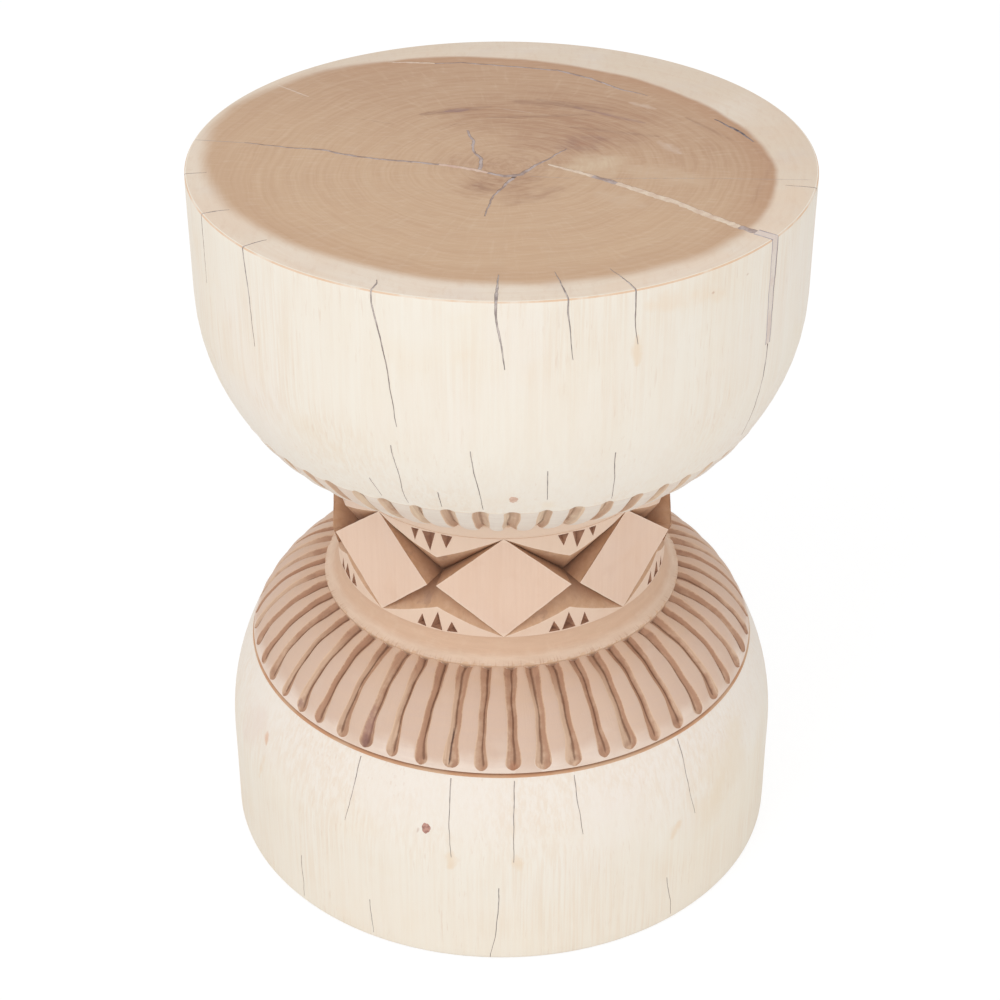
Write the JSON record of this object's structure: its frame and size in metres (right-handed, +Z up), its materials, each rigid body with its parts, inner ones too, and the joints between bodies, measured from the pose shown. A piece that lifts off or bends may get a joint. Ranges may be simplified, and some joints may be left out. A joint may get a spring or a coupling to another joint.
{
  "type": "carved log drum table",
  "caption": "Hourglass side table carved from one log: bowl-shaped head, waist of flat diamonds, fluted shoulders and plain drum base, with filled drying checks.",
  "frame": {"origin": "middle of the flat underside, on the floor", "axes": "+Z up along the log, -Y towards the viewer of the front diamond, +X to the right of that viewer"},
  "size_m": [0.395, 0.395, 0.5],
  "materials": {
    "carved_log_wood": "bleached and sanded, matt",
    "sliver_wood": "sanded, matt",
    "knot_wood": "sanded, matt",
    "crack_filler": "sanded filler, matt"
  },
  "bodies": {
    "root": {"back_shake_filler": "crack_filler", "back_shake_sliver": "sliver_wood", "base_check_filler_1": "crack_filler", "base_check_filler_2": "crack_filler", "base_check_filler_3": "crack_filler", "base_check_filler_4": "crack_filler", "base_check_filler_5": "crack_filler", "base_check_filler_6": "crack_filler", "base_check_filler_7": "crack_filler", "base_check_filler_8": "crack_filler", "base_check_filler_9": "crack_filler", "base_pin_knot": "knot_wood", "bowl_pin_knot": "knot_wood", "carved_log": "carved_log_wood", "heart_check_filler": "crack_filler", "left_check_filler": "crack_filler", "left_check_sliver": "sliver_wood", "right_check_filler": "crack_filler", "right_check_inner_sliver": "sliver_wood", "right_check_long_sliver": "sliver_wood", "right_rim_filler": "crack_filler", "right_shake_filler": "crack_filler", "rim_check_filler_1": "crack_filler", "rim_check_filler_2": "crack_filler", "rim_check_filler_3": "crack_filler", "rim_check_filler_4": "crack_filler", "rim_check_filler_5": "crack_filler", "rim_check_filler_6": "crack_filler", "rim_check_filler_7": "crack_filler", "rim_check_filler_8": "crack_filler", "side_wedge": "sliver_wood", "side_wedge_filler": "crack_filler", "tail_check_filler": "crack_filler", "underside_check_filler_1": "crack_filler", "underside_check_filler_2": "crack_filler", "underside_check_filler_3": "crack_filler", "underside_check_filler_4": "crack_filler", "underside_check_filler_5": "crack_filler", "underside_check_filler_6": "crack_filler", "upper_heart_filler": "crack_filler"}
  },
  "joints": []
}
